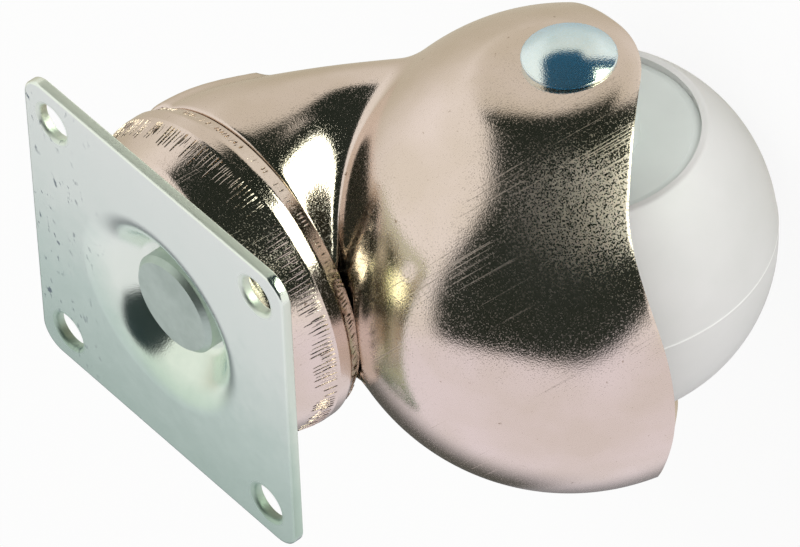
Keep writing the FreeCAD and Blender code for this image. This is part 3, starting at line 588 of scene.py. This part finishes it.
# A point inside the pressing that sees all of its outer form, and a distance that is past all of it.
HOOD_INSIDE, HOOD_FAR = np.array([[10.0], [0.0], [-30.0]]), 60.0
HOOD_COLUMNS, HOOD_ROWS, HALVINGS = 360, 96, 40
HOOD_TURNS = np.arange(HOOD_COLUMNS) * 2 * math.pi / HOOD_COLUMNS


def soft_step(value, low, high):
    """Nothing under low and one over high, with a smooth rise between them."""
    share = np.clip((value - low) / (high - low), 0, 1)
    return share * share * (3 - 2 * share)


def hood_form(points):
    """Below zero inside the pressing's outer form: the leaning horn and the dome with its flat ears, creased
    together."""
    x, y, z = points
    lap = (LAP_RISE * soft_step(z, LAP_END - LAP_END_SOFT, LAP_END + LAP_END_SOFT)
           * soft_step(LAP_HALF - np.abs(y), -LAP_SIDE_SOFT, LAP_SIDE_SOFT) * soft_step(-x, 0.0, 3.0))
    horn = np.hypot(x - horn_back(z), y) - horn_wide(z) - lap
    dome = np.sqrt((x - HOOD_MIDDLE[0]) ** 2 + y**2 + (z - HOOD_MIDDLE[2]) ** 2) - HOOD_RADIUS
    ear = np.abs(y) - EAR
    flank = np.degrees(np.arctan2(np.abs(y), x - horn_back(z)))
    fall = -(np.maximum(dome, 0) / VALLEY_WIDTH) ** 2 - ((flank - VALLEY_PLACE) / VALLEY_SPREAD) ** 2
    horn = horn + VALLEY_DEPTH * np.exp(fall)
    blend = np.maximum(SHOULDER - np.abs(dome - ear), 0) / SHOULDER
    eared = np.maximum(dome, ear) + blend**2 * SHOULDER / 4
    blend = np.maximum(CREASE - np.abs(horn - eared), 0) / CREASE
    return np.minimum(horn, eared) - blend**2 * CREASE / 4


def on_form(tilt):
    """Where rays from inside the hood, one for each of its turns, leave its outer form."""
    way = np.stack([np.cos(tilt) * np.cos(HOOD_TURNS), np.cos(tilt) * np.sin(HOOD_TURNS), np.sin(tilt)])
    near, far = np.zeros_like(tilt), np.full_like(tilt, HOOD_FAR)
    for _ in range(HALVINGS):
        middle = (near + far) / 2
        within = hood_form(HOOD_INSIDE + way * middle) < 0
        near, far = np.where(within, middle, near), np.where(within, far, middle)
    return HOOD_INSIDE + way * near


def tilt_where(test, low, high):
    """The tilts, between two that are given, past which the points on the form pass a test."""
    low, high = np.full(HOOD_COLUMNS, low), np.full(HOOD_COLUMNS, high)
    for _ in range(HALVINGS):
        middle = (low + high) / 2
        above = test(on_form(middle))
        low, high = np.where(above, low, middle), np.where(above, middle, high)
    return (low + high) / 2


def hood_loops():
    """Loops over the pressing's outside: up from the rim, over the neck's corner, down the seat of the cup
    and in to the hole for the race."""
    corner_reach, corner_steps = 0.5, 6

    def over_rim(point):
        return point[2] > np.interp(point[0], RIM_LINE[:, 0], RIM_LINE[:, 1])

    def in_seat(margin, point):
        return (point[2] > HORN_TOP - margin) & (np.hypot(point[0], point[1]) < SEAT_RADIUS + margin)

    rim = tilt_where(over_rim, -1.5, 0.6)
    last = tilt_where(lambda point: in_seat(corner_reach, point), 0.2, 1.5)
    corner = on_form(tilt_where(lambda point: in_seat(0.0, point), 0.2, 1.5))
    loops = [on_form(rim + (last - rim) * step / HOOD_ROWS).T for step in range(HOOD_ROWS + 1)]

    spread = np.hypot(corner[0], corner[1])
    aim = corner[:2] / spread
    drop = np.maximum(corner[2] - HORN_TOP, 0)

    def along(way):
        """Points that far from the neck's corner, down the seat's wall and in over the top."""
        inward = spread - np.maximum(way - drop, 0)
        return np.column_stack([(aim * inward).T, corner[2] - np.minimum(way, drop)])

    start, end = loops[-1], along(corner_reach)
    for step in range(1, corner_steps + 1):
        share = step / corner_steps
        loops.append((1 - share) ** 2 * start + 2 * share * (1 - share) * corner.T + share**2 * end)
    loops.extend(along(way) for way in (0.8, 1.2, 1.6, 2.0, 2.6, 4.0))
    across = np.hypot(loops[-1][:, 0], loops[-1][:, 1])
    for share in (0.25, 0.5, 0.75, 1.0):
        radius = across + (RACE_HOLE - across) * share
        loops.append(np.column_stack([(aim * radius).T, np.full(HOOD_COLUMNS, HORN_TOP)]))
    return loops


def hood():
    """Horn and hood in one pressing: its outer form, given the thickness of the sheet and rolled edges."""
    form = bmesh.new()
    skin(form, hood_loops())
    mesh = meshed("pressing", form)
    face = mesh.polygons[0]
    if face.normal @ (face.center - Vector(HOOD_MIDDLE)) < 0:
        mesh.flip_normals()
    obj = in_scene("pressing", mesh)
    sheet = obj.modifiers.new("sheet", "SOLIDIFY")
    sheet.thickness, sheet.offset = HOOD_SHEET, -1.0
    rolled = obj.modifiers.new("rolled_edge", "BEVEL")
    rolled.width, rolled.segments = 0.2, 3
    rolled.limit_method, rolled.angle_limit = "ANGLE", math.radians(50)
    mesh = made_plain(obj)
    mesh.transform(Matrix.Scale(MM, 4) @ SWIVEL)
    dressed("pressed_hood", mesh, "horn", "nickel", NICKEL, "hood")


def axle_rivet():
    """The axle, a rivet with a low dome outside each ear. The domes lean a little, as they were set."""
    lean, lean_way, rim_undercut, rim_round = 0.06, (0.66, 0.75), 0.3, 0.22
    rise = AXLE_HEAD_TOP - AXLE_HEAD_LAND
    dome = (AXLE_HEAD**2 + rise**2) / (2 * rise)
    cap = [(dome * math.sin(turn), AXLE_HEAD_TOP - dome * (1 - math.cos(turn)))
           for turn in np.linspace(0, math.asin(AXLE_HEAD / dome), 24)]
    rim = rounded([cap[-2], cap[-1], (AXLE_HEAD - rim_undercut, EAR)], [0, rim_round, 0], 6, 0.02)
    upper = cap[:-1] + list(rim[1:]) + [(AXLE_RADIUS, EAR)]
    profile = [(radius, -along) for radius, along in upper] + upper[::-1]
    loops = spun(profile, 96)
    for loop in loops:
        outside = np.sign(loop[:, 2]) * (np.abs(loop[:, 2]) > EAR + 0.01)
        loop[:, 2] -= lean * outside * (loop[:, :2] @ lean_way)
    form = bmesh.new()
    skin(form, loops)
    piece("domed_axle_rivet", form, "horn", "zinc_rivet", ZINC_RIVET, "axle_rivet", place=AXLE)


# Pieces of the wheel

def tyre():
    """The soft ball round the core, with the mould's parting line raised round its middle."""
    side = math.asin(WHEEL_SIDE / WHEEL_RADIUS)
    line_high, line_half, edge_round, trimmed = 0.07, 0.0075, 0.6, 4
    turns = np.concatenate([np.linspace(-side, -3 * line_half, 60),
                            np.linspace(-2 * line_half, 2 * line_half, 9),
                            np.linspace(3 * line_half, side, 60)])
    ball = []
    for turn in turns:
        radius = WHEEL_RADIUS + line_high * max(0.0, 1 - (turn / line_half) ** 2 / 2)
        ball.append((radius * math.cos(turn), radius * math.sin(turn)))
    edge = rounded([ball[-trimmed], ball[-1], (DISC_RADIUS, WHEEL_SIDE)], [0, edge_round, 0], 8)
    upper = list(edge[1:]) + [(DISC_RADIUS, RIB_HALF), (RIB_RADIUS, RIB_HALF)]
    lower = [(radius, -along) for radius, along in upper]
    form = bmesh.new()
    skin(form, spun(ball[trimmed:-trimmed] + upper + lower[::-1], 192), closed=True)
    piece("moulded_tyre", form, "wheel", "tyre_vinyl", TYRE_VINYL, "tyre", place=AXLE)


def wheel_core():
    """The hard disc inside the tyre, with a low ledge round each face."""
    face = rounded([(HUB_RADIUS, DISC_FACE), (DISC_RADIUS - DISC_BEVEL, DISC_FACE),
                    (DISC_RADIUS, DISC_FACE - DISC_BEVEL_DROP), (DISC_RADIUS, RIB_HALF),
                    (RIB_RADIUS, RIB_HALF)],
                   [0, 0.15, 0.12, 0, 0], 4)
    profile = list(face) + [(radius, -along) for radius, along in face[::-1]]
    form = bmesh.new()
    skin(form, spun(profile, 160), closed=True)
    piece("moulded_wheel_core", form, "wheel", "hub_plastic", HUB_PLASTIC, "wheel_core", place=AXLE)


def wheel_hub():
    """The hub tube, tapered outside the disc."""
    half = rounded([(SLEEVE_BORE, HUB_END), (HUB_TIP, HUB_END), (HUB_RADIUS, DISC_FACE)], [0, 0.4, 0], 6)
    profile = list(half) + [(radius, -along) for radius, along in half[::-1]]
    form = bmesh.new()
    skin(form, spun(profile, 96), closed=True)
    piece("moulded_wheel_hub", form, "wheel", "hub_plastic", HUB_PLASTIC, "wheel_hub", place=AXLE)


mounting_plate()
king_pin()
swivel_cup()
crimp_bands()
hood()
axle_rivet()
tyre()
wheel_core()
wheel_hub()
for node, finish in (("upper_bearing_balls", BEARING_STEEL), ("lower_bearing_balls", BEARING_STEEL),
                     ("swivel_race", BEARING_STEEL), ("lower_race_washer", BEARING_STEEL),
                     ("axle_sleeve", BEARING_STEEL), ("left_axle_washer", ZINC_RIVET),
                     ("right_axle_washer", ZINC_RIVET)):
    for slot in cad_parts[node].material_slots:
        slot.material = finish


# Studio

CAMERA_PLACE = Vector((506.1, 710.1, 381.7))
RIGHT, DOWN = Vector((0.6566, -0.0270, -0.7538)), Vector((0.5494, -0.6677, 0.5024))
AHEAD = Vector((-0.5168, -0.7439, -0.4235))
# Where the lamps point, in metres.
LAMP_AIM = Vector((0.012, 0.0, -0.03))
# The light of the tent's parts, as linear colours.
TENT_HIGH, TENT_LOW = (1.0, 0.985, 0.975, 1.0), (0.90, 0.865, 0.945, 1.0)
OPENING, SOFT_BOX = (0.022, 0.030, 0.024, 1.0), (0.91, 1.0, 0.87, 1.0)
LOW_RING, HIGH_RING = (0.10, 0.10, 0.09, 1.0), (0.6, 0.55, 0.44, 1.0)
WHITE = (1.0, 1.0, 1.0, 1.0)
# What the soft box adds to the tent's strength, and the strength of the light on what isn't metal.
BOX_GAIN, ROOM_STRENGTH = 4.0, 0.8


def studio_world():
    """A bright tent, with a dark opening for the camera, a soft box beside it and dim rings at its edge.

    The shapes are laid out as a mirror ball shows them from the camera, across and down, from -1 to 1."""
    world = bpy.data.worlds.new("light_tent")
    bpy.context.scene.world = world
    world.use_nodes = True
    tree = world.node_tree
    tree.nodes.clear()
    way = add(tree, "ShaderNodeTexCoord").outputs["Generated"]
    halfway = add(tree, "ShaderNodeVectorMath", [(0, way), (1, -AHEAD)], operation="ADD")
    ball = add(tree, "ShaderNodeVectorMath", [(0, halfway)], operation="NORMALIZE")
    across = add(tree, "ShaderNodeVectorMath", [(0, ball), (1, RIGHT)], operation="DOT_PRODUCT")
    down = add(tree, "ShaderNodeVectorMath", [(0, ball), (1, DOWN)], operation="DOT_PRODUCT")

    # The opening's left side flares downwards and draws in again at its low corner.
    flare = add(tree, "ShaderNodeMapRange", [("Value", down), ("From Min", 0.24), ("From Max", -0.28),
                                             ("To Min", -0.555), ("To Max", -0.32)],
                interpolation_type="SMOOTHSTEP")
    corner = add(tree, "ShaderNodeMapRange", [("Value", down), ("From Min", 0.50), ("From Max", 0.30),
                                              ("To Min", 1.0), ("To Max", 0.0)],
                 interpolation_type="SMOOTHSTEP")
    drawn_in = add(tree, "ShaderNodeMath", [(0, corner), (1, 2.0)], operation="POWER")
    left_line = add(tree, "ShaderNodeMath", [(0, drawn_in), (1, 0.55), (2, flare)], operation="MULTIPLY_ADD")
    past_left = add(tree, "ShaderNodeMath", [(0, left_line), (1, across)], operation="SUBTRACT")
    # Its low side rises to the right. Its high side drops to the left, and by a step on the right.
    right_half = add(tree, "ShaderNodeMath", [(0, across), (1, 0.0)], operation="MAXIMUM")
    right_fall = add(tree, "ShaderNodeMath", [(0, right_half), (1, 2.0)], operation="POWER")
    low_line = add(tree, "ShaderNodeMath", [(0, right_fall), (1, 2.1), (2, down)], operation="MULTIPLY_ADD")
    to_left = add(tree, "ShaderNodeMath", [(0, -0.06), (1, across)], operation="SUBTRACT")
    left_part = add(tree, "ShaderNodeMath", [(0, to_left), (1, 0.0)], operation="MAXIMUM")
    left_fall = add(tree, "ShaderNodeMath", [(0, left_part), (1, 2.0)], operation="POWER")
    step = add(tree, "ShaderNodeMapRange", [("Value", across), ("From Min", 0.17), ("From Max", 0.09),
                                            ("To Min", 0.085), ("To Max", 0.0)],
               interpolation_type="SMOOTHSTEP")
    stepped = add(tree, "ShaderNodeMath", [(0, step), (1, down)], operation="SUBTRACT")
    high_line = add(tree, "ShaderNodeMath", [(0, left_fall), (1, 1.5), (2, stepped)],
                    operation="MULTIPLY_ADD")

    # The soft box, from its middle to its half width and half height.
    box_sides = []
    for along, middle, half in ((across, 0.385, 0.115), (down, -0.24, 0.22)):
        offset = add(tree, "ShaderNodeMath", [(0, along), (1, middle)], operation="SUBTRACT")
        length = add(tree, "ShaderNodeMath", [(0, offset)], operation="ABSOLUTE")
        box_sides.append(add(tree, "ShaderNodeMath", [(0, length), (1, half)], operation="DIVIDE"))
    box_reach = add(tree, "ShaderNodeMath", list(enumerate(box_sides)), operation="MAXIMUM")

    # Soft edges of the shapes: what each is measured along, where it is full and gone, and its full value.
    aside = add(tree, "ShaderNodeMath", [(0, across)], operation="ABSOLUTE")
    down_square = add(tree, "ShaderNodeMath", [(0, down), (1, down)], operation="MULTIPLY")
    far_out = add(tree, "ShaderNodeMath", [(0, across), (1, across), (2, down_square)],
                  operation="MULTIPLY_ADD")
    parts = {}
    for name, along, full, gone, most in (
            ("left", past_left, -0.035, 0.035, 1.0), ("right", across, 0.47, 0.53, 1.0),
            ("low", low_line, 0.44, 0.51, 1.0), ("high", high_line, 0.645, 0.695, 1.0),
            ("soft_box", box_reach, 0.92, 1.08, 1.0), ("low_tent", down, 0.45, 0.2, 1.0),
            ("wide_ring", far_out, 0.97, 0.80, 1.0), ("left_side", across, -0.2, 0.2, 1.0),
            ("thin_ring", far_out, 1.0, 0.88, 0.8), ("below", down, 0.35, 0.0, 1.0),
            ("outer", far_out, 1.0, 0.55, 1.0), ("above", down, -0.3, 0.1, 1.0),
            ("top_middle", aside, 0.15, 0.42, 0.55), ("top", down, -0.64, -0.50, 1.0)):
        parts[name] = add(tree, "ShaderNodeMapRange",
                          [("Value", along), ("From Min", full), ("From Max", gone), ("To Min", most),
                           ("To Max", 0.0)], interpolation_type="SMOOTHSTEP")
    for name, operation, first, second in (
            ("sides", "MULTIPLY", "left", "right"), ("ends", "MULTIPLY", "low", "high"),
            ("opening", "MULTIPLY", "sides", "ends"), ("left_ring", "MULTIPLY", "wide_ring", "left_side"),
            ("rings", "MAXIMUM", "left_ring", "thin_ring"), ("low_ring", "MULTIPLY", "rings", "below"),
            ("upper_ring", "MULTIPLY", "outer", "above"), ("top_dim", "MULTIPLY", "top_middle", "top"),
            ("high_ring", "MAXIMUM", "upper_ring", "top_dim")):
        parts[name] = add(tree, "ShaderNodeMath", [(0, parts[first]), (1, parts[second])],
                          operation=operation)

    colour = TENT_HIGH
    for name, light in (("low_tent", TENT_LOW), ("high_ring", HIGH_RING), ("opening", OPENING),
                        ("low_ring", LOW_RING), ("soft_box", SOFT_BOX)):
        colour = add(tree, "ShaderNodeMix", [("Factor", parts[name]), ("A", colour), ("B", light)],
                     data_type="RGBA")
    strength = add(tree, "ShaderNodeMath", [(0, parts["soft_box"]), (1, BOX_GAIN), (2, 1.0)],
                   operation="MULTIPLY_ADD")
    tent = add(tree, "ShaderNodeBackground", [("Color", colour), ("Strength", strength)])
    room = add(tree, "ShaderNodeBackground", [("Color", WHITE), ("Strength", ROOM_STRENGTH)])
    white = add(tree, "ShaderNodeBackground", [("Color", WHITE), ("Strength", 1.0)])
    path = add(tree, "ShaderNodeLightPath").outputs
    lit = add(tree, "ShaderNodeMixShader", [(0, path["Is Glossy Ray"]), (1, room), (2, tent)])
    seen = add(tree, "ShaderNodeMath", [(0, path["Is Camera Ray"]), (1, path["Is Transmission Ray"])],
               operation="MAXIMUM")
    shown = add(tree, "ShaderNodeMixShader", [(0, seen), (1, lit), (2, white)])
    add(tree, "ShaderNodeOutputWorld", [("Surface", shown)])


def studio_floor():
    """A pale table under the wheel, white to the eye with a faint shadow."""
    table_radius, whiteness = 1500.0, 0.9
    form = bmesh.new()
    skin(form, [level(ring(radius, 64), FLOOR_LEVEL) for radius in (0.0, table_radius)])
    mesh = meshed("pale_table", form)
    mesh.transform(Matrix.Scale(MM, 4))
    material, tree, shader, _ = surface("pale_table_card", Base_Color=linear("#E6E6E4"), Roughness=0.9)
    glow = add(tree, "ShaderNodeEmission", [("Color", WHITE), ("Strength", 1.0)])
    seen = add(tree, "ShaderNodeLightPath").outputs["Is Camera Ray"]
    share = add(tree, "ShaderNodeMath", [(0, seen), (1, whiteness)], operation="MULTIPLY")
    mixed = add(tree, "ShaderNodeMixShader", [(0, share), (1, shader), (2, glow)])
    tree.links.new(mixed.outputs[0], tree.nodes["Material Output"].inputs["Surface"])
    mesh.materials.append(material)
    obj = in_scene("pale_table", mesh)
    obj.visible_glossy = False


def lamp(name, place, size, power):
    """A soft lamp aimed at the caster, for what isn't metal. Its place and size are in metres."""
    light = bpy.data.lights.new(name, "AREA")
    light.size, light.energy = size, power
    obj = in_scene(name, light)
    aimed = (LAMP_AIM - Vector(place)).to_track_quat("-Z", "Y").to_matrix().to_4x4()
    obj.matrix_world = Matrix.Translation(place) @ aimed
    obj.visible_glossy = False
    obj.visible_camera = False


def camera():
    """The photograph's view: a long lens, turned so that the plate leans to the left."""
    lens = bpy.data.cameras.new("view")
    lens.sensor_width, lens.lens, lens.clip_start, lens.clip_end = 36.0, 405.0, 0.01, 20.0
    obj = in_scene("view", lens)
    turned = Matrix((RIGHT, -DOWN, -AHEAD)).transposed().to_4x4()
    obj.matrix_world = Matrix.Translation(CAMERA_PLACE * MM) @ turned
    bpy.context.scene.camera = obj


studio_world()
studio_floor()
lamp("soft_key", (-0.25, 0.75, 0.55), 0.6, 4.0)
lamp("soft_fill", (0.65, 0.62, 0.0), 0.6, 4.0)
camera()
bpy.context.scene.view_settings.view_transform = "Standard"
